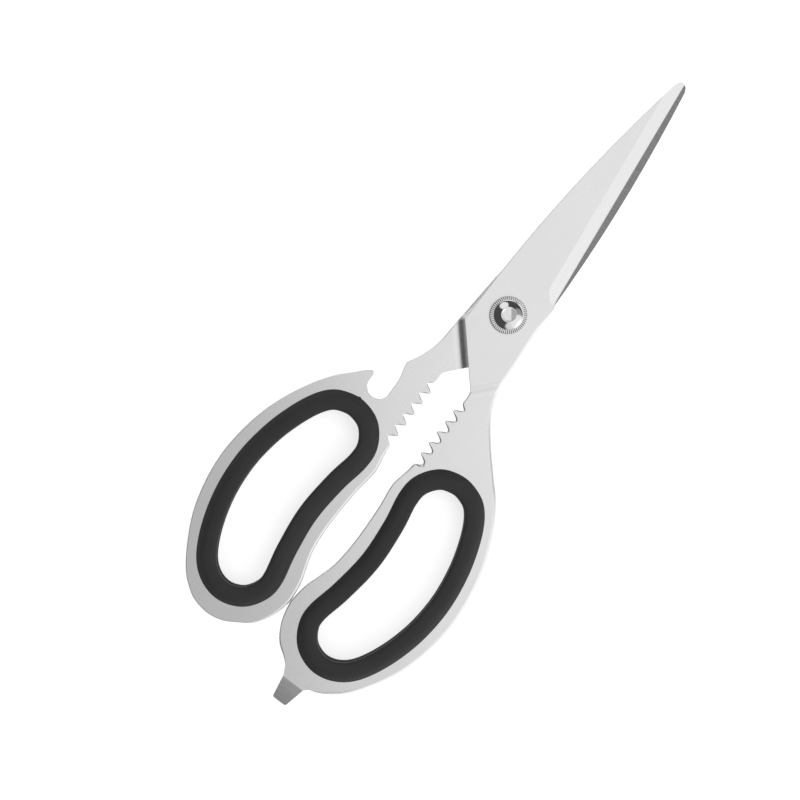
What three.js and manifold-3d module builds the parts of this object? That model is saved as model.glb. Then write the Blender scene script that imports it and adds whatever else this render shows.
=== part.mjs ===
// Poultry shears: two joggled plate halves on one pivot, with soft rings in their bows.
// Millimetres. Origin on the pivot axis at the flat rear face of the pivot nut.
// +Y to the blade tips, +X to the front half's bow, +Z out of the front face.
// Both halves are drawn as the front half; the rear one is turned over about +Y.

import * as THREE from 'three';
import { mergeVertices } from 'three/addons/utils/BufferGeometryUtils.js';
import Module from 'manifold-3d';

// Plate and layers
const plate = 3.0; // steel thickness of each half
const bladeGap = 0.06; // running gap between the two blades
const nutFlange = 1.2; // thickness of the nut's flange, under the rear blade
const seat = 0.02; // between faces that rest on each other

// Blades, measured from the pivot axis
const bladeLength = 99.6; // to the tip
const bladeHalfWidth = 11.1; // axis to the spine at the pivot
const tipRadius = 1.5; // blunt round nose
const edgePastCentre = 0.5; // cutting edge beyond the centre line at the tip
const heelY = 15.0; // where the cutting edge ends, near the pivot
const heelInset = 1.0; // cutting edge inside the neck's outer edge there
const edgeThickness = 0.35; // left at the cutting edge by the grinding
const bevelWidth = 4.8; // ground strip along the cutting edge
const wheelRadius = 6.9; // round end that the grinding wheel leaves

// Pivot boss and neck
const shoulderAngle = 41.6 * Math.PI / 180; // corner of the boss, below the -X axis
const throatInset = 1.95; // throat inside the tooth roots
const throatLength = 6.3; // straight shoulder's end to the first tooth root
const rampRun = 2.3; // length of the joggle's slope
const rearRampClearance = 0.4; // the other half's corner sweeps past this ramp
const frontRampClearance = 6.6;

// Gripping teeth on the inner edge of each neck
const toothCount = 5;
const toothPitch = 4.55;
const toothDepth = 2.6;
const toothRoot = 7.45; // centre line to the tooth roots

// Bows
const bowWidth = 49.3; // closing plane to the outermost point
const bowLength = 100.0;
const shareAboveRack = 0.16; // part of the bow's length that lies beside the teeth
const stopGap = 0.05; // each bow to the closing plane, where they meet as the stop

// Soft rings
const gripCore = 3.2; // soft wall between the finger hole and the steel window
const gripLip = 4.05; // overlap of the ring on each face of the steel
const gripFit = 0.08; // ring to steel
const gripRound = 1.6; // edge rounding
const anchorCount = 8; // soft pegs through the steel, which hold the two lips together
const anchorRadius = 1.0;
const ringSteps = 72;

// Screwdriver tip at the end of the front half's bow
const driverX = 17.5;
const driverWidth = 5.6;
const driverRootWidth = 8.9;
const driverLength = 9.2; // out of the bow's end
const driverGround = 7.9; // length of the ground wedge
const driverThickness = 0.8; // at its end
const driverRound = 0.5;

// Cap-lifter hook on the rear half's neck
const notchRadius = 4.0;
const notchMouth = 12.7; // notch centre up to the corner of its mouth
const notchDepth = 3.0; // notch centre below the top of the bow

// Pivot hardware
const journalRadius = 3.0; // nut barrel, the shaft of the hinge
const journalPlay = 0.04; // running clearance at the flats of the facets
const journalSides = 48;
const barrelFlats = 5.2; // across the two flats that key the nut in the rear half
const keyFit = 0.06;
const barrelDrop = 0.3; // barrel's end below the front face, so that the washers clamp
const nutRadius = 6.2;
const nutChamfer = 0.5;
const boreFloor = 1.0; // level of the blind end of the nut's bore
const screwRadius = 1.9;
const screwFit = 0.08;
const springRadius = 5.0;
const springThickness = 0.5;
const washerRadius = 6.4;
const washerThickness = 1.0;
const knurlCount = 54;
const knurlDepth = 0.45;
const domeRadius = 5.5;
const domeRim = 0.3; // straight edge under the dome
const domeHeight = 2.4;
const dimpleRadius = 2.4;
const dimpleDepth = 0.8;

// Levels up from the nut's rear face
const rearFace = nutFlange + seat;
const midPlane = rearFace + plate + bladeGap / 2;
const frontFace = midPlane + bladeGap / 2 + plate;
const springBottom = frontFace + seat;
const washerBottom = springBottom + springThickness + seat;
const headBottom = washerBottom + washerThickness + seat;

const wasm = await Module();
wasm.setup();

const v2 = (x, y) => new THREE.Vector2(x, y);
const v3 = (x, y, z) => new THREE.Vector3(x, y, z);

// Places worked out from the sizes above
const outward = v2(Math.cos(shoulderAngle), -Math.sin(shoulderAngle)); // square to the front half's ramp
const shoulderRadius = bladeHalfWidth / Math.cos(shoulderAngle);
const corner = v2(-outward.x, outward.y).multiplyScalar(shoulderRadius);
const shoulderRun = (toothRoot - throatInset + bladeHalfWidth) / -outward.y;
const shoulderEnd = v2(-outward.y, -outward.x).multiplyScalar(shoulderRun).add(corner);
const rackTop = throatLength - shoulderEnd.y; // axis to the first tooth root
const rackEnd = rackTop + toothPitch * toothCount;
const bowTop = -rackEnd - toothPitch / 3 + shareAboveRack * bowLength;
const bowEnd = bowTop - bowLength;
const driverEnd = bowEnd - driverLength;
const edgeTip = v2(edgePastCentre, bladeLength - tipRadius);
const edgeHeel = v2(bladeHalfWidth - heelInset, heelY);
const edgeRun = edgeHeel.clone().sub(edgeTip).normalize();

// Closed three.js geometry to a solid for joining and cutting
function solid(geometry) {
  const bare = geometry.index ? geometry.toNonIndexed() : geometry.clone();
  bare.deleteAttribute('normal');
  bare.deleteAttribute('uv');
  const merged = mergeVertices(bare, 1e-5);
  return new wasm.Manifold(new wasm.Mesh({
    numProp: 3,
    vertProperties: new Float32Array(merged.attributes.position.array),
    triVerts: new Uint32Array(merged.index.array),
  }));
}

function mesh(name, body, [color, roughness, metalness]) {
  const { numProp, vertProperties, triVerts } = body.getMesh();
  const position = new Float32Array(vertProperties.length / numProp * 3);
  for (let i = 0; i < position.length / 3; i++) {
    for (let k = 0; k < 3; k++) position[3 * i + k] = vertProperties[numProp * i + k];
  }
  const geometry = new THREE.BufferGeometry();
  geometry.setAttribute('position', new THREE.BufferAttribute(position, 3));
  geometry.setIndex(new THREE.BufferAttribute(new Uint32Array(triVerts), 1));
  geometry.computeVertexNormals();
  const result = new THREE.Mesh(geometry, new THREE.MeshStandardMaterial({ color, roughness, metalness }));
  result.name = name;
  return result;
}

// Shape with its outline anticlockwise and its holes clockwise
function outlined(points, holes) {
  const wound = (list, clockwise) => (
    THREE.ShapeUtils.isClockWise(list) === clockwise ? list : [...list].reverse());
  const shape = new THREE.Shape(wound(points, false));
  for (const hole of holes) shape.holes.push(new THREE.Path(wound(hole, true)));
  return shape;
}

// Flat slab of an outline between two levels
function slab(points, low, high, holes = []) {
  const geometry = new THREE.ExtrudeGeometry(outlined(points, holes), { depth: high - low, bevelEnabled: false });
  return solid(geometry.translate(0, 0, low));
}

// Turned solid from [radius, height] pairs that start and end on the axis
function turned(profile, sides) {
  return solid(new THREE.LatheGeometry(profile.map(([r, z]) => v2(r, z)), sides).rotateX(Math.PI / 2));
}

// Bar of a section drawn in the x and y directions given, from one end to the other along their cross product
function bar(section, x, y, length) {
  const geometry = new THREE.ExtrudeGeometry(new THREE.Shape(section), { depth: length, bevelEnabled: false });
  geometry.translate(0, 0, -length / 2);
  return geometry.applyMatrix4(new THREE.Matrix4().makeBasis(x, y, v3().crossVectors(x, y)));
}

function circle(radius, sides, centre = v2(0, 0)) {
  const points = [];
  for (let i = 0; i < sides; i++) {
    const angle = i / sides * 2 * Math.PI;
    points.push(v2(centre.x + radius * Math.cos(angle), centre.y + radius * Math.sin(angle)));
  }
  return points;
}

const smooth = (points, steps) => new THREE.SplineCurve(points).getPoints(steps);

// A point of the bow, in shares of its width and length, clear of the closing plane
const onBow = ([across, down]) => v2(stopGap + across * bowWidth, bowTop - down * bowLength);

// Middle line of the soft ring, closed, in shares of the bow
const ringShares = [
  [0.434, 0.133], [0.538, 0.140], [0.623, 0.163], [0.696, 0.212], [0.763, 0.290], [0.815, 0.385],
  [0.842, 0.500], [0.824, 0.625], [0.759, 0.745], [0.661, 0.842], [0.548, 0.892], [0.414, 0.907],
  [0.284, 0.883], [0.205, 0.830], [0.189, 0.770], [0.235, 0.660], [0.268, 0.520], [0.249, 0.380],
  [0.213, 0.275], [0.227, 0.210], [0.312, 0.154],
];
const ringPath = new THREE.CatmullRomCurve3(
  ringShares.map(onBow).map((p) => v3(p.x, p.y, 0)), true, 'centripetal');

// Point of the ring's middle line at a share of its length, moved out by a distance
function onRing(share, distance) {
  const p = ringPath.getPointAt(share);
  const t = ringPath.getTangentAt(share);
  return v2(p.x - t.y * distance, p.y + t.x * distance);
}

function ringOffset(distance) {
  return Array.from({ length: ringSteps }, (_, i) => onRing(i / ringSteps, distance));
}

const gripWidth = gripCore + gripLip;
const windowOffset = gripCore - gripWidth / 2; // the steel window, out from the ring's middle line
const anchors = Array.from({ length: anchorCount }, (_, i) => onRing(i / anchorCount, windowOffset + gripLip / 2));

// From the boss's corner up the spine, over the nose and down the cutting edge
function bladeOutline() {
  const outline = new THREE.Shape();
  outline.moveTo(corner.x, corner.y);
  outline.lineTo(-bladeHalfWidth, 0);
  outline.bezierCurveTo(-0.99 * bladeHalfWidth, 0.35 * bladeLength,
    -0.68 * bladeHalfWidth, 0.67 * bladeLength,
    edgePastCentre - 1.85 * tipRadius, bladeLength - 1.6 * tipRadius);
  outline.quadraticCurveTo(edgePastCentre - 1.3 * tipRadius, bladeLength,
    edgePastCentre - 0.5 * tipRadius, bladeLength);
  outline.quadraticCurveTo(edgePastCentre, bladeLength, edgeTip.x, edgeTip.y);
  outline.lineTo(edgeHeel.x, edgeHeel.y);
  return outline.getPoints(10);
}

// Out of the heel and down the neck's outer edge, as far as the flare
const heelPoints = [edgeHeel, v2(edgeHeel.x + 0.45, heelY - 2.4), v2(bladeHalfWidth + 0.2, heelY - 3.9)];
const neckPoints = [
  v2(bladeHalfWidth + 0.25, heelY - 4.6), v2(bladeHalfWidth + 0.5, 0), v2(bladeHalfWidth + 1.3, -rackTop + 24.8),
  v2(bladeHalfWidth + 2.0, -rackTop + 14.8), v2(bladeHalfWidth + 3.1, -rackTop + 9.5),
  v2(bladeHalfWidth + 4.6, -rackTop + 5.6),
];

// Outer edge of the bow, its end, and its inner edge up to the teeth
const outerShares = [
  [0.470, -0.036], [0.610, 0.040], [0.712, 0.094], [0.811, 0.168], [0.902, 0.262], [0.961, 0.355],
  [0.994, 0.455], [1.000, 0.550], [0.974, 0.650], [0.917, 0.750], [0.828, 0.840], [0.712, 0.926],
  [0.605, 0.972], [0.522, 0.992],
];
const endShares = [[0.412, 1.000], [0.300, 0.990], [0.200, 0.963], [0.106, 0.930], [0.035, 0.872]];
const innerShares = [
  [0.003, 0.810], [0.003, 0.770], [0.017, 0.720], [0.049, 0.670], [0.079, 0.620], [0.095, 0.570],
  [0.102, 0.490], [0.093, 0.370], [0.073, 0.285], [0.074, 0.250], [0.092, 0.205], [0.101, 0.168],
];

// The front half's outer edge: one sweep from the neck to the bow's end
function plainSide() {
  const flare = v2(bladeHalfWidth + 7.1, -rackTop + 1.6);
  return smooth([...neckPoints, flare, ...outerShares.map(onBow)], 62);
}

// The rear half's outer edge: the neck to the corner of the mouth, round the notch, and over the hook's tip
function hookedSide() {
  const centre = onBow([0.409, 0]).add(v2(0, -notchDepth));
  const mouth = v2(centre.x - notchRadius + 1.7, centre.y + notchMouth);
  const throat = smooth([mouth, v2(centre.x - notchRadius + 1.1, centre.y + 0.77 * notchMouth),
    v2(centre.x - notchRadius + 0.2, centre.y + 0.47 * notchMouth), v2(centre.x - notchRadius, centre.y)], 8);
  const turns = 12;
  const round = circle(notchRadius, 2 * turns, centre).slice(turns + 1);
  const tip = [v2(centre.x + notchRadius, centre.y), v2(centre.x + notchRadius + 0.05, centre.y + 2.1),
    v2(centre.x + notchRadius + 0.4, centre.y + 3.0), v2(centre.x + notchRadius + 1.5, centre.y + 3.1)];
  const bow = smooth([onBow([0.575, 0.020]), ...outerShares.slice(1).map(onBow)], 44);
  return [...smooth([...neckPoints, mouth], 20).slice(0, -1), ...throat, ...round, ...tip, ...bow];
}

function driverOutline() {
  return [
    v2(driverX + driverRootWidth / 2 + 1.6, bowEnd + 0.2),
    v2(driverX + driverRootWidth / 2, bowEnd - 1.1),
    v2(driverX + driverWidth / 2, driverEnd + driverRound),
    v2(driverX + driverWidth / 2 - driverRound, driverEnd),
    v2(driverX - driverWidth / 2 + driverRound, driverEnd),
    v2(driverX - driverWidth / 2, driverEnd + driverRound),
    v2(driverX - driverRootWidth / 2 + 0.3, bowEnd - 1.1),
    v2(driverX - driverRootWidth / 2 - 1.2, bowEnd + 1.9),
  ];
}

// The teeth, a wave from the lowest root up to the first one
function toothOutline() {
  const stepsPerTooth = 10;
  const points = [];
  for (let i = 0; i <= toothCount * stepsPerTooth; i++) {
    const phase = i / stepsPerTooth * 2 * Math.PI;
    points.push(v2(toothRoot - toothDepth * (1 - Math.cos(phase)) / 2, i / stepsPerTooth * toothPitch - rackEnd));
  }
  return points;
}

// Whole outline of one half: blade, outer edge, bow's end, inner edge, teeth and throat
function halfOutline(hooked) {
  const side = hooked ? hookedSide() : plainSide();
  const end = endShares.map(onBow);
  const foot = onBow(innerShares[0]);
  const bottom = hooked
    ? smooth([side.at(-1), ...end, foot], 22).slice(1, -1)
    : [...driverOutline(), ...smooth([...end.slice(2), foot], 12).slice(0, -1)];
  const inner = smooth(innerShares.map(onBow), 30);
  const throat = smooth([v2(toothRoot, -rackTop), v2(toothRoot - 1.55, -rackTop + 1.6),
    v2(toothRoot - 1.65, -rackTop + 4.4), shoulderEnd], 6).slice(1);
  return [...bladeOutline(), ...smooth(heelPoints, 4).slice(1), ...side, ...bottom, ...inner,
    ...toothOutline(), ...throat];
}

// Everything inside the joggled plate: a side profile carried along the ramp's direction
function joggle(rampStart) {
  const far = 2 * (bladeLength + bowLength);
  const upper = midPlane + bladeGap / 2;
  const lower = midPlane - plate / 2;
  const rampEnd = rampStart + rampRun;
  const profile = [
    v2(-far, upper), v2(rampStart, upper), v2(rampEnd, lower), v2(far, lower),
    v2(far, lower + plate), v2(rampEnd, lower + plate), v2(rampStart, upper + plate), v2(-far, upper + plate),
  ];
  return solid(bar(profile, v3(outward.x, outward.y, 0), v3(0, 0, 1), 2 * far));
}

// The ground strip: a wedge off the outer face along the cutting edge, with the wheel's round end
function bevelWedge() {
  const overlap = 1;
  const fall = (plate - edgeThickness) / bevelWidth;
  const edgeLevel = frontFace - plate + edgeThickness;
  const section = [v2(-overlap, edgeLevel - overlap * fall), v2(bevelWidth, frontFace),
    v2(bevelWidth, frontFace + overlap), v2(-overlap, frontFace + overlap)];
  const length = edgeTip.distanceTo(edgeHeel);
  const middle = edgeTip.clone().add(edgeHeel).divideScalar(2);
  const strip = solid(bar(section, v3(edgeRun.y, -edgeRun.x, 0), v3(0, 0, 1), length + 8 * tipRadius)
    .translate(middle.x, middle.y, 0));
  const wheel = v2(edgeHeel.x + 2.2, heelY + 3.3);
  const above = slab([v2(-bladeHalfWidth, wheel.y), v2(2 * wheel.x, wheel.y),
    v2(2 * wheel.x, 2 * bladeLength), v2(-bladeHalfWidth, 2 * bladeLength)], midPlane, frontFace + 2);
  const round = slab(circle(wheelRadius, 48, wheel), midPlane, frontFace + 2);
  return strip.intersect(above.add(round));
}

// The two wedges that thin the screwdriver tip
function driverWedges() {
  const tip = driverThickness / 2;
  const fall = (plate / 2 - tip) / driverGround;
  const wedge = (side) => {
    const section = [v2(driverEnd + driverGround, side * plate / 2), v2(driverEnd + driverGround, side * plate),
      v2(driverEnd - 1, side * plate), v2(driverEnd - 1, side * (tip - fall))];
    return solid(bar(side > 0 ? section : section.reverse(), v3(0, 1, 0), v3(0, 0, 1), 2 * driverRootWidth)
      .translate(driverX, 0, midPlane));
  };
  return wedge(1).add(wedge(-1));
}

// Round bar up the pivot axis, with two flats where it is keyed
function pivotBar(radius, low, high, acrossFlats = 2 * radius) {
  const bodyOfBar = slab(circle(radius, journalSides), low, high);
  const flats = solid(new THREE.BoxGeometry(acrossFlats, 4 * radius, 4 * frontFace));
  return acrossFlats < 2 * radius ? bodyOfBar.intersect(flats) : bodyOfBar;
}

// One half, as the front one lies
function half(hooked, rampClearance) {
  const low = midPlane - 2 * plate;
  const high = midPlane + 2 * plate;
  const holes = anchors.map((p) => circle(anchorRadius + gripFit, 12, p));
  return slab(halfOutline(hooked), low, high, [ringOffset(windowOffset), ...holes])
    .intersect(joggle(shoulderRadius + rampClearance))
    .subtract(bevelWedge());
}

// Half or ring turned over about the long axis, through the middle plane
function turnOver(body) {
  return body.translate([0, 0, -midPlane]).rotate([0, 180, 0]).translate([0, 0, midPlane]);
}

// Soft ring with rounded edges: a slot takes the steel, and pegs cross it
function grip() {
  const shape = outlined(ringOffset(gripWidth / 2), [ringOffset(-gripWidth / 2)]);
  const geometry = new THREE.ExtrudeGeometry(shape, {
    depth: 2 * midPlane - 2 * gripRound, bevelEnabled: true, bevelThickness: gripRound,
    bevelSize: gripRound, bevelOffset: -gripRound, bevelSegments: 2,
  });
  const ring = solid(geometry.translate(0, 0, gripRound));
  const holes = [ringOffset(windowOffset - gripFit), ...anchors.map((p) => circle(anchorRadius, 12, p))];
  const slot = slab(ringOffset(gripWidth), midPlane - plate / 2 - gripFit, midPlane + plate / 2 + gripFit, holes);
  return ring.subtract(slot);
}

function frontHalf() {
  const bore = (journalRadius + journalPlay) / Math.cos(Math.PI / journalSides);
  return half(false, frontRampClearance)
    .subtract(driverWedges())
    .subtract(pivotBar(bore, 0, 2 * frontFace));
}

function rearHalf() {
  return turnOver(half(true, rearRampClearance))
    .subtract(pivotBar(journalRadius + keyFit, -1, 2 * frontFace, barrelFlats + 2 * keyFit));
}

// Nut: plain flange, keyed barrel in the rear half, round journal in the front half, bore for the screw
function pivotNut() {
  const top = frontFace - barrelDrop;
  const flange = turned([[0, 0], [nutRadius - nutChamfer, 0], [nutRadius, 0.8 * nutChamfer],
    [nutRadius, nutFlange], [0, nutFlange]], 48);
  return flange
    .add(pivotBar(journalRadius, nutFlange / 2, midPlane, barrelFlats))
    .add(pivotBar(journalRadius, midPlane, top))
    .subtract(slab(circle(screwRadius + screwFit, 32), boreFloor, top + 1));
}

function springWasher() {
  return slab(circle(springRadius, 40), springBottom, springBottom + springThickness,
    [circle(screwRadius + screwFit, 40)]);
}

// Serrated washer: a toothed disc under a bevelled rim
function knurledWasher() {
  const points = [];
  for (let i = 0; i < 2 * knurlCount; i++) {
    const radius = i % 2 ? washerRadius - knurlDepth : washerRadius;
    const angle = i / knurlCount * Math.PI;
    points.push(v2(radius * Math.cos(angle), radius * Math.sin(angle)));
  }
  const top = washerBottom + washerThickness;
  const disc = slab(points, washerBottom, top, [circle(screwRadius + screwFit, 24)]);
  const rim = turned([[0, washerBottom - 1], [washerRadius + 0.1, washerBottom - 1],
    [washerRadius + 0.1, top - 0.6 * washerThickness], [domeRadius + 0.1, top], [0, top]], knurlCount);
  return disc.intersect(rim);
}

// Domed screw with a dimple in its middle
function pivotScrew() {
  const tip = boreFloor + 0.3;
  const profile = [[0, tip], [screwRadius - 0.3, tip], [screwRadius, tip + 0.3], [screwRadius, headBottom],
    [domeRadius, headBottom], [domeRadius, headBottom + domeRim]];
  const steps = 7;
  for (let i = 1; i <= steps; i++) {
    const inset = 1 - i / steps;
    const rise = (domeHeight - domeRim) * Math.sqrt(1 - inset ** 2);
    profile.push([dimpleRadius + (domeRadius - dimpleRadius) * inset, headBottom + domeRim + rise]);
  }
  profile.push([0.75 * dimpleRadius, headBottom + domeHeight - 0.6 * dimpleDepth]);
  profile.push([0, headBottom + domeHeight - dimpleDepth]);
  return turned(profile, 40);
}

const satinSteel = [0xdcdcdc, 0.35, 0.9];
const polishedSteel = [0xb8b8b8, 0.12, 1.0];
const softBlack = [0x2e2e2e, 0.75, 0.0];

const shears = new THREE.Group();
shears.add(mesh('front_blade', frontHalf(), satinSteel));
shears.add(mesh('rear_blade', rearHalf(), satinSteel));
shears.add(mesh('front_grip', grip(), softBlack));
shears.add(mesh('rear_grip', turnOver(grip()), softBlack));
shears.add(mesh('pivot_nut', pivotNut(), polishedSteel));
shears.add(mesh('spring_washer', springWasher(), polishedSteel));
shears.add(mesh('knurled_washer', knurledWasher(), polishedSteel));
shears.add(mesh('pivot_screw', pivotScrew(), polishedSteel));

export default shears;
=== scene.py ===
# Poultry shears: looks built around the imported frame.
# Everything is in metres, with +Y to the blade tips and +Z up out of the front face.
import math

import bpy
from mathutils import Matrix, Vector
from mathutils.kdtree import KDTree


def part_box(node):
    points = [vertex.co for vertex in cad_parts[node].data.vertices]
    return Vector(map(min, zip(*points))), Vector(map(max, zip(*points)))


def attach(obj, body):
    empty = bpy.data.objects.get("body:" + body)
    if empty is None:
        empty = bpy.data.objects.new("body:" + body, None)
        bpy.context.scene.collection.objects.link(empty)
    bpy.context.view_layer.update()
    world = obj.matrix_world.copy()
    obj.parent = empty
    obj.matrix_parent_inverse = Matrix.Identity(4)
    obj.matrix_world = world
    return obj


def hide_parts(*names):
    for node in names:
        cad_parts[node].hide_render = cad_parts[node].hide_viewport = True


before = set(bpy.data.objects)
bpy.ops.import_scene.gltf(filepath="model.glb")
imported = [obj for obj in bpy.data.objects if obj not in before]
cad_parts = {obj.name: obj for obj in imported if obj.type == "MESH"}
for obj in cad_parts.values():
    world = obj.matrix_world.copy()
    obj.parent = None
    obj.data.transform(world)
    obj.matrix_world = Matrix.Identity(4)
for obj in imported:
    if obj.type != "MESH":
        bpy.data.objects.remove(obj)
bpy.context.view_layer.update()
mm = 0.001

# Levels and reaches that every piece shares, read from the frame
frontLow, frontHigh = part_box("front_blade")
rearLow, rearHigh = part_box("rear_blade")
ringLow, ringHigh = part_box("front_grip")
midPlane = (frontHigh.z + rearLow.z) / 2
bladeTop = frontHigh.y
bladeHalf = -frontLow.x
driverEnd = frontLow.y
bowEnd = rearLow.y
print("frame loaded,", len(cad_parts), "nodes")


def objectMode():
    if bpy.context.object and bpy.context.object.mode != "OBJECT":
        bpy.ops.object.mode_set(mode="OBJECT")


def takeUp(piece):
    # leave only this piece selected and active
    objectMode()
    bpy.ops.object.select_all(action="DESELECT")
    piece.hide_set(False)
    piece.select_set(True)
    bpy.context.view_layer.objects.active = piece


def pick(piece, kind, test):
    # select the piece's verts, edges or faces that pass the test, and stay in edit mode
    takeUp(piece)
    bpy.ops.object.mode_set(mode="EDIT")
    bpy.ops.mesh.select_mode(type=kind)
    bpy.ops.mesh.select_all(action="DESELECT")
    bpy.ops.object.mode_set(mode="OBJECT")
    mesh = piece.data
    if kind == "VERT":
        for vert in mesh.vertices:
            vert.select = test(vert.co)
    elif kind == "EDGE":
        for edge in mesh.edges:
            a, b = (mesh.vertices[i].co for i in edge.vertices)
            edge.select = test(a, b)
    else:
        for face in mesh.polygons:
            face.select = test(face.center, face.normal)
    bpy.ops.object.mode_set(mode="EDIT")


def pickAll(piece):
    takeUp(piece)
    bpy.ops.object.mode_set(mode="EDIT")
    bpy.ops.mesh.select_all(action="SELECT")


def applyModifier(piece, kind, **settings):
    takeUp(piece)
    modifier = piece.modifiers.new(kind.title(), kind)
    for name, value in settings.items():
        setattr(modifier, name, value)
    bpy.ops.object.modifier_apply(modifier=modifier.name)


def cutAway(piece, cutter):
    # take the cutter's shape out of the piece, then throw the cutter away
    applyModifier(piece, "BOOLEAN", operation="DIFFERENCE", solver="MANIFOLD", object=cutter)
    bpy.data.objects.remove(cutter)


def tidyMesh(piece, sharpest):
    # merge doubles, point the faces out and shade the rounds smooth
    pickAll(piece)
    bpy.ops.mesh.remove_doubles(threshold=0.002 * mm)
    bpy.ops.mesh.normals_make_consistent(inside=False)
    objectMode()
    bpy.ops.object.shade_smooth_by_angle(angle=math.radians(sharpest))
    applyModifier(piece, "WEIGHTED_NORMAL", keep_sharp=True, weight=50)


# an outline is a list of Bezier knots: [place, handle before, handle after, kind before, kind after]
def smoothRun(points):
    knots = []
    for i, place in enumerate(points):
        pull = (points[min(i + 1, len(points) - 1)] - points[max(i - 1, 0)]) / 6
        knots.append([place, place - pull, place + pull, "FREE", "FREE"])
    return knots


def straightRun(points):
    knots = []
    for i, place in enumerate(points):
        before = place.lerp(points[max(i - 1, 0)], 1 / 3)
        after = place.lerp(points[min(i + 1, len(points) - 1)], 1 / 3)
        knots.append([place, before, after, "VECTOR", "VECTOR"])
    return knots


def pulledRun(start, startPull, endPull, end):
    # one Bezier stretch with its two handles given
    return [[start, start, startPull, "FREE", "FREE"], [end, endPull, end, "FREE", "FREE"]]


def smoothLoop(points):
    knots = []
    for i, place in enumerate(points):
        pull = (points[(i + 1) % len(points)] - points[i - 1]) / 6
        knots.append([place, place - pull, place + pull, "FREE", "FREE"])
    return knots


def joinRuns(runs):
    # runs that share their end points, closed into one loop
    loop = []
    for run in runs:
        if loop and (loop[-1][0] - run[0][0]).length < 0.001 * mm:
            loop[-1][2], loop[-1][4] = run[0][2], run[0][4]
            loop.extend(run[1:])
        else:
            loop.extend(run)
    if (loop[-1][0] - loop[0][0]).length < 0.001 * mm:
        last = loop.pop()
        loop[0][1], loop[0][3] = last[1], last[3]
    return loop


def drawCurve(name, loops, steps):
    bpy.ops.object.select_all(action="DESELECT")
    bpy.ops.curve.primitive_bezier_curve_add(enter_editmode=False, location=(0, 0, 0))
    curve = bpy.context.object
    curve.name = name
    data = curve.data
    data.dimensions = "2D"
    data.fill_mode = "NONE"
    data.resolution_u = steps
    data.splines.clear()
    for knots in loops:
        spline = data.splines.new("BEZIER")
        spline.resolution_u = steps
        spline.bezier_points.add(len(knots) - 1)
        for point, (place, before, after, kindBefore, kindAfter) in zip(spline.bezier_points, knots):
            point.handle_left_type = kindBefore
            point.handle_right_type = kindAfter
            point.co = (place.x, place.y, 0)
            point.handle_left = (before.x, before.y, 0)
            point.handle_right = (after.x, after.y, 0)
        spline.use_cyclic_u = True
    return curve


# both steel halves are drawn as the front one lies
plate = {
    "thickness": 3.0 * mm,
    "running": 0.06 * mm,  # gap between the two blades
    "tipRound": 1.5 * mm,
    "edgePastCentre": 0.5 * mm,
    "heelY": 15.0 * mm,
    "heelInset": 1.0 * mm,
    "shoulderAngle": math.radians(41.6),
    "throatInset": 1.95 * mm,
    "throatLength": 6.3 * mm,
    "toothCount": 5,
    "toothPitch": 4.55 * mm,
    "toothDepth": 2.6 * mm,
    "toothRoot": 7.45 * mm,
    "bowWidth": 49.27 * mm,
    "bowLength": 100.0 * mm,
    "stopGap": 0.05 * mm,
    "stepsPerKnot": 10,
}
outward = Vector((math.cos(plate["shoulderAngle"]), -math.sin(plate["shoulderAngle"])))
bossCorner = Vector((-bladeHalf, -bladeHalf * math.tan(plate["shoulderAngle"])))
shoulderReach = bossCorner.length
shoulderRun = (plate["toothRoot"] - plate["throatInset"] + bladeHalf) / -outward.y
shoulderEnd = bossCorner + Vector((-outward.y, -outward.x)) * shoulderRun
rackTop = shoulderEnd.y - plate["throatLength"]
rackEnd = rackTop - plate["toothPitch"] * plate["toothCount"]
bowTop = bowEnd + plate["bowLength"]
bowWidth = plate["bowWidth"]
upperBottom = midPlane + plate["running"] / 2
upperTop = upperBottom + plate["thickness"]
bladeEdgeTip = Vector((plate["edgePastCentre"], bladeTop - plate["tipRound"]))
bladeEdgeHeel = Vector((bladeHalf - plate["heelInset"], plate["heelY"]))
matingStart = 9.0 * mm  # the mating face has its ground finish and painted shade from here to the tip


def onBow(across, down):
    return Vector((plate["stopGap"] + across * bowWidth, bowTop - down * plate["bowLength"]))


outerBow = [
    (0.470, -0.036), (0.610, 0.040), (0.712, 0.094), (0.811, 0.168), (0.902, 0.262), (0.961, 0.355),
    (0.994, 0.455), (1.000, 0.550), (0.974, 0.650), (0.917, 0.750), (0.828, 0.840), (0.712, 0.926),
    (0.605, 0.972), (0.522, 0.992),
]
bowFoot = [(0.412, 1.000), (0.300, 0.990), (0.200, 0.963), (0.106, 0.930), (0.035, 0.872)]
innerBow = [
    (0.003, 0.810), (0.003, 0.770), (0.017, 0.720), (0.049, 0.670), (0.079, 0.620), (0.095, 0.570),
    (0.102, 0.490), (0.093, 0.370), (0.073, 0.285), (0.074, 0.250), (0.092, 0.205), (0.101, 0.168),
]
ringLine = [
    (0.434, 0.133), (0.538, 0.140), (0.623, 0.163), (0.696, 0.212), (0.763, 0.290), (0.815, 0.385),
    (0.842, 0.500), (0.824, 0.625), (0.759, 0.745), (0.661, 0.842), (0.548, 0.892), (0.414, 0.907),
    (0.284, 0.883), (0.205, 0.830), (0.189, 0.770), (0.235, 0.660), (0.268, 0.520), (0.249, 0.380),
    (0.213, 0.275), (0.227, 0.210), (0.312, 0.154),
]


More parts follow.
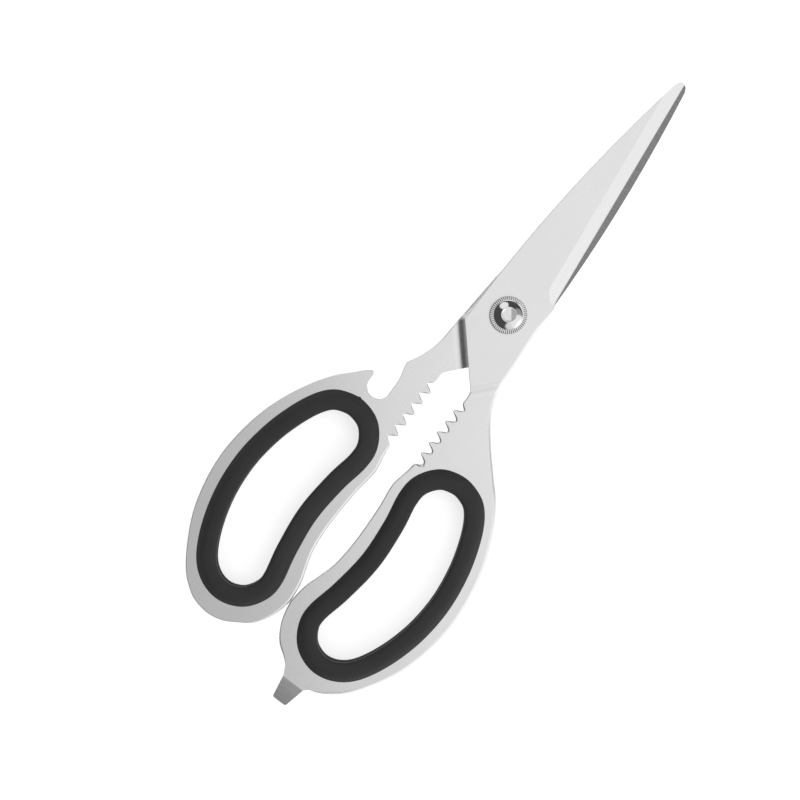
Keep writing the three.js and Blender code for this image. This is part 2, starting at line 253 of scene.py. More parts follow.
def bladeRuns():
    # boss corner, spine, blunt nose and straight cutting edge
    nose = plate["tipRound"]
    edge = plate["edgePastCentre"]
    spineFoot = Vector((-bladeHalf, 0))
    spineTop = Vector((edge - 1.85 * nose, bladeTop - 1.6 * nose))
    crown = Vector((edge - 0.5 * nose, bladeTop))
    crownPull = Vector((edge - 1.3 * nose, bladeTop))
    nosePull = Vector((edge, bladeTop))
    return [
        straightRun([shoulderEnd, bossCorner, spineFoot]),
        pulledRun(spineFoot, Vector((-0.99 * bladeHalf, 0.35 * bladeTop)),
                  Vector((-0.68 * bladeHalf, 0.67 * bladeTop)), spineTop),
        pulledRun(spineTop, spineTop.lerp(crownPull, 2 / 3), crown.lerp(crownPull, 2 / 3), crown),
        pulledRun(crown, crown.lerp(nosePull, 2 / 3), bladeEdgeTip.lerp(nosePull, 2 / 3), bladeEdgeTip),
        straightRun([bladeEdgeTip, bladeEdgeHeel]),
    ]


def neckPoints(bulge=0.0):
    return [
        bladeEdgeHeel,
        Vector((bladeEdgeHeel.x + 0.45 * mm, plate["heelY"] - 2.4 * mm)),
        Vector((bladeHalf + 0.2 * mm - 0.7 * bulge, plate["heelY"] - 3.9 * mm)),
        Vector((bladeHalf + 0.5 * mm + bulge, 0)),
        Vector((bladeHalf + 1.3 * mm + 0.5 * bulge, rackTop + 24.8 * mm)),
        Vector((bladeHalf + 2.0 * mm, rackTop + 14.8 * mm)),
        Vector((bladeHalf + 3.1 * mm, rackTop + 9.5 * mm)),
        Vector((bladeHalf + 4.6 * mm, rackTop + 5.6 * mm)),
    ]


driver = {
    "x": 17.5 * mm,
    "width": 5.6 * mm,
    "rootWidth": 8.9 * mm,
    "ground": 7.9 * mm,  # length of the ground wedge
    "endThickness": 0.8 * mm,
    "cornerRound": 0.5 * mm,
}


def plainSide():
    # outer edge of the front half, down to the screwdriver tip and up to the inner edge
    flare = Vector((bladeHalf + 7.1 * mm, rackTop + 1.6 * mm))
    x, half, root = driver["x"], driver["width"] / 2, driver["rootWidth"] / 2
    lip = driver["cornerRound"]
    outer = [*neckPoints(), flare, *(onBow(*share) for share in outerBow)]
    tip = [
        outer[-1],
        Vector((x + root + 1.6 * mm, bowEnd + 0.2 * mm)),
        Vector((x + root, bowEnd - 1.1 * mm)),
        Vector((x + half, driverEnd + lip)),
        Vector((x + half - lip, driverEnd)),
        Vector((x - half + lip, driverEnd)),
        Vector((x - half, driverEnd + lip)),
        Vector((x - root + 0.3 * mm, bowEnd - 1.1 * mm)),
        Vector((x - root - 1.2 * mm, bowEnd + 1.9 * mm)),
    ]
    foot = [tip[-1], *(onBow(*share) for share in [*bowFoot[2:], *innerBow])]
    return [smoothRun(outer), straightRun(tip), smoothRun(foot)]


hook = {
    "across": 0.409,  # share of the bow's width
    "radius": 4.0 * mm,
    "depth": 3.0 * mm,
    "mouth": 12.7 * mm,
    "neckBulge": 0.4 * mm,  # the neck shows past the other half's boss
}


def hookedSide():
    # outer edge of the rear half: neck, mouth, round notch, beak, and the bow right round
    r = hook["radius"]
    centre = onBow(hook["across"], 0) - Vector((0, hook["depth"]))
    mouth = centre + Vector((1.7 * mm - r, hook["mouth"]))
    throat = [
        mouth,
        centre + Vector((1.1 * mm - r, 0.77 * hook["mouth"])),
        centre + Vector((0.2 * mm - r, 0.47 * hook["mouth"])),
        centre + Vector((-r, 0)),
    ]
    quarter = 0.5523 * r  # handle length of a quarter circle
    low = centre + Vector((0, -r))
    right = centre + Vector((r, 0))
    beak = [
        right,
        centre + Vector((r + 0.05 * mm, 2.1 * mm)),
        centre + Vector((r + 0.35 * mm, 2.8 * mm)),
        centre + Vector((r + 0.85 * mm, 3.12 * mm)),
        centre + Vector((r + 1.6 * mm, 3.1 * mm)),
        onBow(0.575, 0.020),
        *(onBow(*share) for share in [*outerBow[1:], *bowFoot, *innerBow]),
    ]
    return [
        smoothRun([*neckPoints(hook["neckBulge"]), mouth]),
        smoothRun(throat),
        pulledRun(throat[-1], throat[-1] + Vector((0, -quarter)), low + Vector((-quarter, 0)), low),
        pulledRun(low, low + Vector((quarter, 0)), right + Vector((0, -quarter)), right),
        smoothRun(beak),
    ]


def toothRun():
    # a wave from the lowest root up to the first one
    half = plate["toothPitch"] / 2
    pull = Vector((0, 0.3642 * half))
    knots = []
    for i in range(2 * plate["toothCount"] + 1):
        x = plate["toothRoot"] - (plate["toothDepth"] if i % 2 else 0)
        place = Vector((x, rackEnd + i * half))
        knots.append([place, place - pull, place + pull, "FREE", "FREE"])
    return knots


def throatRun():
    root = plate["toothRoot"]
    return smoothRun([
        Vector((root, rackTop)),
        Vector((root - 1.55 * mm, rackTop + 1.6 * mm)),
        Vector((root - 1.65 * mm, rackTop + 4.4 * mm)),
        shoulderEnd,
    ])


def offsetLoop(points, distance):
    # the same loop, moved out by a distance
    moved = []
    for i, place in enumerate(points):
        way = (points[(i + 1) % len(points)] - points[i - 1]).normalized()
        moved.append(place + Vector((-way.y, way.x)) * distance)
    return moved


rounding = {
    "segments": 4,
    "bow": 1.4 * mm,
    "innerBow": 0.45 * mm,
    "hookedBow": 0.45 * mm,
    "hookedInner": 1.0 * mm,
    "neck": 1.0 * mm,
    "toothTip": 0.36 * mm,
    "rack": 0.75 * mm,
    "spine": 0.3 * mm,
    "shoulder": 0.18 * mm,
    "notch": 0.22 * mm,
    "driver": 0.12 * mm,
    "notchNear": 13 * mm,  # the rounding grows between these distances from the notch
    "notchFar": 32 * mm,
    "driverNear": 5 * mm,
    "driverFar": 15 * mm,
}


def ease(value, low, high):
    # 0 below low, 1 above high, smooth between
    share = min(max((value - low) / (high - low), 0), 1)
    return share * share * (3 - 2 * share)


def blendWidth(first, second, share):
    return first + (second - first) * share


def onCuttingEdge(place):
    along = bladeEdgeTip - bladeEdgeHeel
    gap = abs((place - bladeEdgeHeel).cross(along)) / along.length
    return place.y > plate["heelY"] - 0.1 * mm and gap < 0.05 * mm


def rimRound(place, hooked):
    # how far the stamping's edge is rounded there
    x, y = place.x, place.y
    outer, inner = rounding["bow"], rounding["innerBow"]
    if hooked:
        outer, inner = rounding["hookedBow"], rounding["hookedInner"]
    if y > plate["heelY"] or (x < 0 and y > bossCorner.y + 0.1 * mm):
        return rounding["spine"]
    if x < plate["toothRoot"] - 0.1 * mm and y > shoulderEnd.y - 0.1 * mm:
        return rounding["shoulder"]
    if x < plate["toothRoot"] + 0.3 * mm and y > rackEnd - 0.1 * mm:
        share = ease(plate["toothRoot"] - x, 0, plate["toothDepth"])
        return blendWidth(rounding["rack"], rounding["toothTip"], share)
    if y < bowEnd - 0.5 * mm:
        return rounding["driver"]
    if x < onBow(0.12, 0).x and y > bowEnd + 25 * mm:
        return blendWidth(rounding["rack"], inner, ease(rackEnd - y, 1 * mm, 9 * mm))
    if y < onBow(0, 0.5).y:
        outer = blendWidth(inner, outer, ease(x, onBow(0.02, 0).x, onBow(0.25, 0).x))
    if hooked:
        fromNotch = (place - onBow(hook["across"], 0)).length
        away = ease(fromNotch, rounding["notchNear"], rounding["notchFar"])
        outer = blendWidth(rounding["notch"], outer, away)
        outer = blendWidth(outer, rounding["neck"], ease(y, -16 * mm, -4 * mm))
    else:
        fromDriver = (place - Vector((driver["x"], bowEnd))).length
        away = ease(fromDriver, rounding["driverNear"], rounding["driverFar"])
        outer = blendWidth(rounding["driver"], outer, away)
    heel = bladeEdgeHeel.y
    return blendWidth(outer, rounding["spine"], ease(y, heel - 14 * mm, heel - 3.4 * mm))


joggle = {
    "run": 2.6 * mm,
    "bladeBend": 0.8 * mm,  # half-length of the rounded bend next to the blade
    "bowBend": 1.6 * mm,
    "cuts": 7,  # cuts across each bend
    "frontClearance": 6.6 * mm,
    "rearClearance": 0.4 * mm,
}


def joggleDrop(reach, start):
    # how far the plate has come down at this reach along the ramp's direction
    run = joggle["run"]
    fall = (upperBottom - midPlane + plate["thickness"] / 2) / run
    drop = 0
    for corner, bend, sign in ((start, joggle["bladeBend"], 1), (start + run, joggle["bowBend"], -1)):
        past = reach - corner
        if past > bend:
            drop += sign * fall * past
        elif past > -bend:
            drop += sign * fall * (past + bend) ** 2 / (4 * bend)
    return drop


def bendPlate(piece, start):
    # cut lines across the plate, then let the bow side down to the middle
    cuts = joggle["cuts"]
    for corner, bend in ((start, joggle["bladeBend"]), (start + joggle["run"], joggle["bowBend"])):
        for i in range(cuts):
            reach = corner - bend + 2 * bend * i / (cuts - 1)
            pickAll(piece)
            bpy.ops.mesh.bisect(plane_co=(*(outward * reach), 0), plane_no=(*outward, 0), threshold=1e-7)
    objectMode()
    for vert in piece.data.vertices:
        vert.co.z -= joggleDrop(vert.co.xy.dot(outward), start)


def stamp(name, loop, low, high, bands=1):
    # a flat blank of one closed outline between two levels, its wall in this many bands
    drawCurve(name, [loop], plate["stepsPerKnot"])
    bpy.ops.object.convert(target="MESH")
    blank = bpy.context.object
    pickAll(blank)
    bpy.ops.mesh.remove_doubles(threshold=0.002 * mm)
    bpy.ops.mesh.edge_face_add()
    for _ in range(bands):
        bpy.ops.mesh.extrude_region_move(TRANSFORM_OT_translate={"value": (0, 0, (high - low) / bands)})
    bpy.ops.mesh.select_all(action="SELECT")
    bpy.ops.mesh.normals_make_consistent(inside=False)
    bpy.ops.transform.translate(value=(0, 0, low))
    objectMode()
    return blank


def pressHalf(name, hooked):
    side = hookedSide() if hooked else plainSide()
    outline = joinRuns([*bladeRuns(), *side, toothRun(), throatRun()])
    piece = stamp(name, outline, upperBottom, upperTop, 2 * rounding["segments"] + 1)
    roundRim(piece, hooked)
    clearance = joggle["rearClearance"] if hooked else joggle["frontClearance"]
    bendPlate(piece, shoulderReach + clearance)
    if not hooked:
        thinDriver(piece)
    grindEdge(piece)
    pickAll(piece)
    bpy.ops.mesh.bisect(plane_co=(0, matingStart, 0), plane_no=(0, 1, 0), threshold=1e-7)
    objectMode()
    boreHalf(piece, hooked)
    windowLoop = smoothLoop(offsetLoop([onBow(*share) for share in ringLine], ring["windowOffset"]))
    cutAway(piece, stamp("windowCutter", windowLoop, 0, 2 * midPlane))
    if hooked:
        turnOver(piece)
    tidyMesh(piece, 28)
    return piece


def thinDriver(piece):
    # squeeze the plate to a wedge towards the screwdriver's end
    start = driverEnd + driver["ground"]
    pickAll(piece)
    bpy.ops.mesh.bisect(plane_co=(0, start, 0), plane_no=(0, 1, 0), threshold=1e-7)
    objectMode()
    least = driver["endThickness"] / plate["thickness"]
    for vert in piece.data.vertices:
        if vert.co.y < start:
            keep = 1 - (1 - least) * (start - vert.co.y) / driver["ground"]
            vert.co.z = midPlane + (vert.co.z - midPlane) * keep


def roundRim(piece, hooked):
    # the wall's bands are drawn in to a quarter round at both faces
    mesh = piece.data
    rim = max(mesh.polygons, key=lambda face: len(face.vertices))
    outline = [mesh.vertices[i].co.xy for i in rim.vertices]
    wind = 1 if rim.normal.z > 0 else -1
    inward = []
    finder = KDTree(len(outline))
    for i, place in enumerate(outline):
        before = (place - outline[i - 1]).normalized() * wind
        after = (outline[(i + 1) % len(outline)] - place).normalized() * wind
        both = Vector((-before.y - after.y, before.x + after.x))
        inward.append(both / (1 + before.dot(after)))
        finder.insert((*place, 0), i)
    finder.balance()
    steps = rounding["segments"]
    bands = 2 * steps + 1
    for vert in mesh.vertices:
        i = finder.find((*vert.co.xy, 0))[1]
        width = 0 if onCuttingEdge(outline[i]) else rimRound(outline[i], hooked)
        level = round((vert.co.z - upperBottom) / plate["thickness"] * bands)
        turn = min(level, bands - level) / steps * math.pi / 2
        vert.co.xy = outline[i] + inward[i] * width * (1 - math.sin(turn))
        depth = width * (1 - math.cos(turn))
        vert.co.z = upperBottom + depth if level <= steps else upperTop - depth
    pickAll(piece)
    bpy.ops.mesh.remove_doubles(threshold=0.002 * mm)
    objectMode()


grind = {
    "width": 4.8 * mm,
    "edgeThickness": 0.35 * mm,
    "wheelRadius": 6.9 * mm,
    "wheelPastEdge": 2.2 * mm,
    "wheelUp": 3.3 * mm,
    "wheelSides": 96,
    "wheelDepth": 8 * mm,
    "wheelLift": 4.5 * mm,  # the cutter's middle, over the middle plane
}


def grindEdge(piece):
    # the wheel's track: a round cutter drawn out along the edge, with a sloping underside
    along = (bladeEdgeTip - bladeEdgeHeel).normalized()
    across = Vector((along.y, -along.x))  # square to the edge, away from the blade
    wheel = bladeEdgeHeel + Vector((grind["wheelPastEdge"], grind["wheelUp"]))
    bpy.ops.object.select_all(action="DESELECT")
    bpy.ops.mesh.primitive_cylinder_add(vertices=grind["wheelSides"], radius=grind["wheelRadius"],
                                        depth=grind["wheelDepth"],
                                        location=(wheel.x, wheel.y, midPlane + grind["wheelLift"]))
    cutter = bpy.context.object
    bpy.ops.object.transform_apply(location=True, rotation=True, scale=True)
    pick(cutter, "VERT", lambda co: (co.xy - wheel).dot(along) > 0.01 * mm)
    reach = along * (bladeTop * 1.1)
    bpy.ops.transform.translate(value=(reach.x, reach.y, 0))
    # slope: from the thin edge up to the front face at the strip's width
    fall = (plate["thickness"] - grind["edgeThickness"]) / grind["width"]
    level = upperBottom + grind["edgeThickness"]
    slope = Vector((across.x * fall, across.y * fall, 1)).normalized()
    pickAll(cutter)
    bpy.ops.mesh.bisect(plane_co=(bladeEdgeHeel.x, bladeEdgeHeel.y, level), plane_no=slope,
                        use_fill=True, clear_inner=True, threshold=1e-7)
    bpy.ops.mesh.select_all(action="SELECT")
    bpy.ops.mesh.normals_make_consistent(inside=False)
    objectMode()
    cutAway(piece, cutter)


bore = {
    "sides": 64,
    "journal": 3.04 * mm,
    "keyRadius": 3.06 * mm,
    "acrossFlats": 5.32 * mm,
}


def boreHalf(piece, hooked):
    radius = bore["keyRadius"] if hooked else bore["journal"]
    bpy.ops.object.select_all(action="DESELECT")
    bpy.ops.mesh.primitive_cylinder_add(vertices=bore["sides"], radius=radius, depth=20 * mm,
                                        location=(0, 0, midPlane))
    cutter = bpy.context.object
    bpy.ops.object.transform_apply(location=True, rotation=True, scale=True)
    if hooked:
        # two flats key the nut in the rear half
        for side in (1, -1):
            pickAll(cutter)
            bpy.ops.mesh.bisect(plane_co=(side * bore["acrossFlats"] / 2, 0, 0), plane_no=(side, 0, 0),
                                use_fill=True, clear_outer=True, threshold=1e-7)
        bpy.ops.mesh.select_all(action="SELECT")
        bpy.ops.mesh.normals_make_consistent(inside=False)
    objectMode()
    cutAway(piece, cutter)


def turnOver(piece):
    # half a turn about the long axis, through the middle plane
    pickAll(piece)
    bpy.ops.transform.rotate(value=math.pi, orient_axis="Y", orient_type="GLOBAL",
                             center_override=(0, 0, midPlane))
    objectMode()


ring = {
    "core": 3.2 * mm,  # wall between the finger hole and the steel window
    "lip": 4.05 * mm,  # overlap on each face of the steel
    "fit": 0.03 * mm,
    "stepsPerKnot": 10,
}
ring["width"] = ring["core"] + ring["lip"]
ring["windowOffset"] = ring["core"] - ring["width"] / 2


def mouldRing(name):
    # the section, drawn once and carried round the ring's middle line
    half = ring["width"] / 2
    rise = (ringHigh.z - ringLow.z) / 2
    lip = plate["thickness"] / 2 + ring["fit"]
    seat = ring["windowOffset"] - ring["fit"]

    def section(out, up):
        return Vector((out, up))

    upper = smoothRun([
        section(half, lip + 0.35 * mm), section(half - 0.02 * mm, rise - 1.15 * mm),
        section(half - 0.36 * mm, rise - 0.42 * mm), section(half - 1.2 * mm, rise - 0.08 * mm),
        section(half - 2.6 * mm, rise), section(half - 4.1 * mm, rise - 0.10 * mm),
        section(half - 5.5 * mm, rise - 0.62 * mm), section(half - 6.6 * mm, rise - 1.75 * mm),
        section(half - 7.13 * mm, rise - 3.1 * mm), section(-half, 0),
    ])
    lower = [[Vector((k[0].x, -k[0].y)), Vector((k[2].x, -k[2].y)), Vector((k[1].x, -k[1].y)), k[4], k[3]]
             for k in reversed(upper)]
    upper[-1][2] = upper[-1][0] + Vector((0, -0.5 * mm))
    upper[-1][1] = upper[-1][0] + Vector((0, 0.5 * mm))
    lower[0][1], lower[0][2] = upper[-1][1], upper[-1][2]
    foot = straightRun([
        section(half, -lip - 0.35 * mm), section(half - 0.18 * mm, -lip), section(seat, -lip),
        section(seat, lip), section(half - 0.18 * mm, lip), section(half, lip + 0.35 * mm),
    ])
    outline = drawCurve(name + "Section", [joinRuns([upper, lower, foot])], 4)
    path = drawCurve(name, [smoothLoop([onBow(*share) for share in ringLine])], ring["stepsPerKnot"])
    path.data.bevel_mode = "OBJECT"
    path.data.bevel_object = outline
    takeUp(path)
    bpy.ops.object.convert(target="MESH")
    piece = bpy.context.object
    bpy.data.objects.remove(outline)
    pickAll(piece)
    bpy.ops.mesh.remove_doubles(threshold=0.002 * mm)
    bpy.ops.transform.translate(value=(0, 0, midPlane))
    bpy.ops.mesh.normals_make_consistent(inside=False)
    objectMode()
    return piece


nub = {
    "x": 23.2 * mm,
    "y": -52.9 * mm,
    "height": 0.35 * mm,
    "reach": 0.9 * mm,
}


def leaveNub(piece):
    # the small vestige of the mould's gate on the rim of one ring
    gate = Vector((nub["x"], nub["y"]))
    near = [v for v in piece.data.vertices if v.co.z < midPlane]
    closest = min(near, key=lambda v: (v.co.xy - gate).length)
    start = closest.co.copy()
    out = Vector((0, 1))
    for vert in piece.data.vertices:
        share = 1 - ease((vert.co - start).length, 0, nub["reach"])
        vert.co.xy += out * nub["height"] * share


def turnOnLathe(name, profile, sides):
    # one ring of the profile after another, from the first [radius, height] to the last
    bpy.ops.object.select_all(action="DESELECT")
    radius, height = profile[0]
    bpy.ops.mesh.primitive_circle_add(vertices=sides, radius=radius, location=(0, 0, 0))
    piece = bpy.context.object
    piece.name = name
    pickAll(piece)
    bpy.ops.mesh.select_mode(type="EDGE")
    bpy.ops.mesh.select_all(action="SELECT")
    bpy.ops.transform.translate(value=(0, 0, height))
    for nextRadius, nextHeight in profile[1:]:
        bpy.ops.mesh.extrude_edges_move(TRANSFORM_OT_translate={"value": (0, 0, nextHeight - height)})
        share = nextRadius / radius
        bpy.ops.transform.resize(value=(share, share, 1), center_override=(0, 0, nextHeight))
        radius, height = nextRadius, nextHeight
    bpy.ops.mesh.select_all(action="SELECT")
    bpy.ops.mesh.remove_doubles(threshold=0.0005 * mm)
    bpy.ops.mesh.normals_make_consistent(inside=False)
    objectMode()
    return piece


def closeEnds(piece, heights):
    # a face over each open end
    for height in heights:
        pick(piece, "EDGE", lambda a, b: max(abs(a.z - height), abs(b.z - height)) < 1e-6
             and min(a.xy.length, b.xy.length) < 0.3 * mm)
        bpy.ops.mesh.edge_face_add()
    bpy.ops.mesh.select_all(action="SELECT")
    bpy.ops.mesh.normals_make_consistent(inside=False)
    objectMode()


def arcPoints(centre, radii, start, end, steps):
    # points of an elliptical arc, angles in degrees
    points = []
    for i in range(steps + 1):
        angle = math.radians(start + (end - start) * i / steps)
        points.append((centre[0] + radii[0] * math.cos(angle), centre[1] + radii[1] * math.sin(angle)))
    return points


screw = {
    "sides": 128,
    "pole": 0.05 * mm,  # small last ring, closed with a face
    "headInset": 0.42 * mm,  # the head stays this far inside its node, which bares the serrations
    "domeRadius": 7.0 * mm,
    "dimpleRadius": 2.55 * mm,
    "dimpleDepth": 0.42 * mm,
    "lip": 0.22 * mm,
    "shank": 1.9 * mm,
    "steps": 14,
}


def turnScrew():
    low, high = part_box("pivot_screw")
    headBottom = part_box("knurled_washer")[1].z + 0.02 * mm
    head, steps = high.x - screw["headInset"], screw["steps"]
    shank, pole = screw["shank"], screw["pole"]
    dimple, lip, ball = screw["dimpleRadius"], screw["lip"], screw["domeRadius"]
    rimLean = math.asin((head - 0.1 * mm) / ball)
    lipLean = math.asin((dimple + lip) / ball)
    centre = high.z - 0.01 * mm - ball * math.cos(math.asin(dimple / ball))
    dome = []
    for i in range(steps + 1):
        lean = rimLean + (lipLean - rimLean) * i / steps
        dome.append((ball * math.sin(lean), centre + ball * math.cos(lean)))
    bowl = []
    for i in range(1, steps):
        share = 1 - i / steps
        bowl.append((dimple * share + pole * (1 - share), high.z - screw["dimpleDepth"] * (1 - share ** 2)))
    profile = [
        (pole, low.z), (shank - 0.3 * mm, low.z), (shank, low.z + 0.3 * mm), (shank, headBottom),
        (head - 0.12 * mm, headBottom), (head, headBottom + 0.12 * mm), (head, dome[0][1] - 0.1 * mm),
        *dome, (dimple + 0.4 * lip, high.z - 0.004 * mm), (dimple, high.z),
        *bowl, (pole, high.z - screw["dimpleDepth"]),
    ]
    piece = turnOnLathe("domedScrew", profile, screw["sides"])
    closeEnds(piece, (low.z, profile[-1][1]))
    tidyMesh(piece, 40)
    return piece


serration = {
    "count": 54,
    "columns": 6,  # mesh columns for each serration
    "depth": 0.10 * mm,
    "inset": 0.07 * mm,
    "start": 4.95 * mm,
    "inner": 1.98 * mm,
    "sharpness": 5,  # a higher power gives narrower valleys
    "paintedShadeShare": 0.12,  # half-width of the painted shade strip in each valley, as a share of the pitch
}


def turnSerratedWasher():
    low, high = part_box("knurled_washer")
    edge = high.x
    sides = serration["count"] * serration["columns"]
    profile = [
        (serration["inner"], high.z), (serration["start"], high.z),
        (serration["start"] + 0.15 * mm, high.z), (edge - 0.25 * mm, high.z - 0.01 * mm),
        (edge - 0.05 * mm, high.z - 0.03 * mm), (edge, high.z - 0.09 * mm), (edge, low.z + 0.1 * mm),
        (edge - 0.1 * mm, low.z), (serration["inner"], low.z), (serration["inner"], high.z),
    ]
    piece = turnOnLathe("serratedWasher", profile, sides)
    step = 2 * math.pi / serration["count"]
    for vert in piece.data.vertices:
        reach = vert.co.xy.length
        turn = math.atan2(vert.co.y, vert.co.x) / step
        valley = (0.5 - 0.5 * math.cos(2 * math.pi * turn)) ** serration["sharpness"]
        if reach > serration["start"] + 0.1 * mm and vert.co.z > low.z + 0.2 * mm:
            vert.co.z -= serration["depth"] * valley
            vert.co.xy *= 1 - serration["inset"] * valley / reach
    tidyMesh(piece, 50)
    return piece


dished = {
    "sides": 96,
    "hole": 1.98 * mm,
    "soft": 0.08 * mm,  # broken corners
    "rise": 0.12 * mm,  # height of the dish over the sheet's thickness
}


def turnDishedWasher():
    # thin spring washer, dished so that its rim bears below and its hole above
    low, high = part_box("spring_washer")
    edge, hole, soft = high.x, dished["hole"], dished["soft"]
    sheet = high.z - low.z - dished["rise"]
    profile = [
        (hole, high.z - sheet + soft), (hole, high.z - soft), (hole + soft, high.z),
        (0.6 * edge, high.z - 0.04 * mm), (edge - soft, low.z + sheet), (edge, low.z + sheet - soft),
        (edge, low.z + soft), (edge - soft, low.z), (0.6 * edge, high.z - sheet - 0.04 * mm),
        (hole + soft, high.z - sheet), (hole, high.z - sheet + soft),
    ]
    piece = turnOnLathe("dishedWasher", profile, dished["sides"])
    tidyMesh(piece, 40)
    return piece


nut = {
    "sides": 96,
    "flange": 1.2 * mm,
    "chamfer": 0.5 * mm,
    "barrel": 3.0 * mm,
    "acrossFlats": 5.2 * mm,
    "boreFloor": 1.0 * mm,
    "bore": 1.98 * mm,
    "pole": 0.05 * mm,
    "grooveDepth": 0.08 * mm,  # shallow ring in the flange's flat face
    "grooveInner": 0.55,  # its two edges, as shares of the flange's radius
    "grooveOuter": 0.62,
}


def turnNut():
    low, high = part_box("pivot_nut")
    edge, chamfer, flange = high.x, nut["chamfer"], nut["flange"]
    barrel, pole = nut["barrel"], nut["pole"]
    inner, outer, groove = nut["grooveInner"] * edge, nut["grooveOuter"] * edge, low.z + nut["grooveDepth"]
    profile = [
        (pole, low.z), (inner, low.z), (inner + 0.12 * mm, groove),
        (outer, groove), (outer + 0.12 * mm, low.z), (edge - chamfer, low.z),
        *arcPoints((edge - chamfer, low.z + chamfer), (chamfer, chamfer), -90, 0, 6),
        (edge, flange - 0.1 * mm), (edge - 0.1 * mm, flange), (barrel, flange),
        (barrel, midPlane), (barrel, high.z - 0.15 * mm), (barrel - 0.15 * mm, high.z),
        (nut["bore"], high.z), (nut["bore"], nut["boreFloor"]), (pole, nut["boreFloor"]),
    ]
    piece = turnOnLathe("barrelNut", profile, nut["sides"])
    closeEnds(piece, (low.z, nut["boreFloor"]))
    # flats that key the barrel in the rear half
    for side in (1, -1):
        bpy.ops.object.select_all(action="DESELECT")
        bpy.ops.mesh.primitive_cube_add(size=1, location=(side * (nut["acrossFlats"] / 2 + 2 * mm), 0,
                                                          (flange + midPlane) / 2))
        flatCutter = bpy.context.object
        flatCutter.scale = (4 * mm, 8 * mm, midPlane - flange)
        bpy.ops.object.transform_apply(location=True, rotation=True, scale=True)
        cutAway(piece, flatCutter)
    tidyMesh(piece, 35)
    return piece


def newGroup(name, inputs, outputs):
    group = bpy.data.node_groups.new(name, "ShaderNodeTree")
    for label, kind, value in inputs:
        socket = group.interface.new_socket(name=label, in_out="INPUT", socket_type=kind)
        socket.default_value = value
    for label, kind in outputs:
        group.interface.new_socket(name=label, in_out="OUTPUT", socket_type=kind)
    return group, group.nodes.new("NodeGroupInput"), group.nodes.new("NodeGroupOutput")


def addNode(tree, kind, **settings):
    node = tree.nodes.new(kind)
    for name, value in settings.items():
        if name in node.inputs:
            node.inputs[name].default_value = value
        else:
            setattr(node, name, value)
    return node


def makeBrushing():
    # hairlines drawn out along one direction, on the piece's own coordinates
    group, given, out = newGroup("brushing", [
        ("Stretch", "NodeSocketVector", (1, 1, 1)),
        ("Contrast", "NodeSocketFloat", 0.5),
    ], [("Lines", "NodeSocketFloat"), ("Cloud", "NodeSocketFloat")])
    links = group.links
    place = addNode(group, "ShaderNodeTexCoord")
    stretched = addNode(group, "ShaderNodeVectorMath", operation="MULTIPLY")
    links.new(place.outputs["Object"], stretched.inputs[0])
    links.new(given.outputs["Stretch"], stretched.inputs[1])
    fine = addNode(group, "ShaderNodeTexNoise", Scale=1.0, Detail=4.0, Roughness=0.65)
    links.new(stretched.outputs["Vector"], fine.inputs["Vector"])
    spread = addNode(group, "ShaderNodeMath", operation="SUBTRACT")
    spread.inputs[1].default_value = 0.5
    links.new(fine.outputs["Fac"], spread.inputs[0])
    strong = addNode(group, "ShaderNodeMath", operation="MULTIPLY_ADD")
    strong.inputs[2].default_value = 0.5
    links.new(spread.outputs["Value"], strong.inputs[0])
    links.new(given.outputs["Contrast"], strong.inputs[1])
    links.new(strong.outputs["Value"], out.inputs["Lines"])
    cloud = addNode(group, "ShaderNodeTexNoise", Scale=45.0, Detail=3.0, Roughness=0.5)
    links.new(place.outputs["Object"], cloud.inputs["Vector"])
    links.new(cloud.outputs["Fac"], out.inputs["Cloud"])
    return group


def makeMouldGrain():
    # the fine even grain of a spark-eroded mould, with a few specks of dust
    group, given, out = newGroup("mouldGrain", [
        ("Grain", "NodeSocketFloat", 3000.0),
        ("Dust", "NodeSocketFloat", 0.5),
    ], [("Height", "NodeSocketFloat"), ("Cloud", "NodeSocketFloat"), ("Specks", "NodeSocketFloat")])
    links = group.links
    place = addNode(group, "ShaderNodeTexCoord")
    grain = addNode(group, "ShaderNodeTexNoise", Detail=2.0, Roughness=0.6)
    links.new(place.outputs["Object"], grain.inputs["Vector"])
    links.new(given.outputs["Grain"], grain.inputs["Scale"])
    links.new(grain.outputs["Fac"], out.inputs["Height"])
    cloud = addNode(group, "ShaderNodeTexNoise", Scale=90.0, Detail=4.0, Roughness=0.55)
    links.new(place.outputs["Object"], cloud.inputs["Vector"])
    links.new(cloud.outputs["Fac"], out.inputs["Cloud"])
    dots = addNode(group, "ShaderNodeTexVoronoi", Scale=420.0)
    links.new(place.outputs["Object"], dots.inputs["Vector"])
    small = addNode(group, "ShaderNodeMapRange")
    small.inputs["From Min"].default_value = 0.10
    small.inputs["From Max"].default_value = 0.04
    links.new(dots.outputs["Distance"], small.inputs["Value"])
    rare = addNode(group, "ShaderNodeMath", operation="GREATER_THAN")
    rare.inputs[1].default_value = 0.93
    apart = addNode(group, "ShaderNodeSeparateColor")
    links.new(dots.outputs["Color"], apart.inputs["Color"])
    links.new(apart.outputs["Red"], rare.inputs[0])
    both = addNode(group, "ShaderNodeMath", operation="MULTIPLY")
    links.new(small.outputs["Result"], both.inputs[0])
    links.new(rare.outputs["Value"], both.inputs[1])
    dusted = addNode(group, "ShaderNodeMath", operation="MULTIPLY")
    links.new(both.outputs["Value"], dusted.inputs[0])
    links.new(given.outputs["Dust"], dusted.inputs[1])
    links.new(dusted.outputs["Value"], out.inputs["Specks"])
    return group


def newFinish(name):
    material = bpy.data.materials.new(name)
    material.use_nodes = True
    tree = material.node_tree
    shader = next(n for n in tree.nodes if n.type == "BSDF_PRINCIPLED")
    return material, tree, shader


